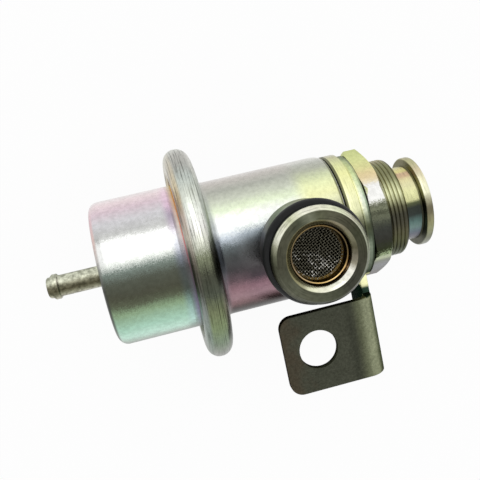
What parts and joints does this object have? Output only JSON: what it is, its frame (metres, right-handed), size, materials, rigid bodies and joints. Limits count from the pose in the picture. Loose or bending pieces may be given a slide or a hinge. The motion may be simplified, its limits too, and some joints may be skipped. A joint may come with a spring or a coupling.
{
  "type": "fuel pressure regulator",
  "caption": "Fuel pressure regulator: sprung diaphragm in a rolled steel body, vacuum nipple at one end, screened side inlet, flanged outlet stub and a folded bracket with a bolt hole.",
  "frame": {"origin": "centre of the bracket's bolt hole, on the tab's outer face", "axes": "+X along the body from the vacuum nipple to the outlet, +Z out of the side inlet and out of the bracket's face, +Y from the bracket's tab towards the body"},
  "size_m": [0.0866, 0.0608, 0.055],
  "materials": {
    "cover_zinc": "bright iridescent zinc plate",
    "body_zinc": "bright iridescent zinc plate",
    "port_steel": "turned steel, olive zinc plate",
    "stub_zinc": "turned steel, yellow zinc plate",
    "bracket_zinc": "pressed sheet, dark olive zinc plate",
    "brass": "bright brass",
    "screen_wire": "fine bright wire",
    "rubber": "black fuel resistant rubber",
    "inner_steel": "plain steel",
    "hard_steel": "polished hardened steel"
  },
  "bodies": {
    "housing": {"vacuum_nipple": "body_zinc", "vacuum_cover": "cover_zinc", "lower_housing": "body_zinc", "inlet_port": "port_steel", "inlet_o_ring": "rubber", "screen_ring": "brass", "filter_screen": "screen_wire", "mounting_bracket": "bracket_zinc", "clamp_nut": "stub_zinc", "outlet_fitting": "stub_zinc", "seat_tube": "inner_steel", "valve_seat": "hard_steel", "diaphragm": "rubber", "main_spring": "inner_steel", "spring_seat": "inner_steel"},
    "valve": {"spring_cup": "inner_steel", "lower_plate": "inner_steel", "valve_holder": "inner_steel", "valve_ball": "hard_steel", "valve_disc": "hard_steel", "valve_retainer": "inner_steel"}
  },
  "joints": [
    {"name": "valve_slide", "type": "slide", "parent": "housing", "child": "valve", "axis": [-1, 0, 0], "range_m": [0, 0.001], "stiffness_N_per_m": 40, "springref_m": -0.001, "deforming": ["main_spring", "diaphragm"]}
  ]
}
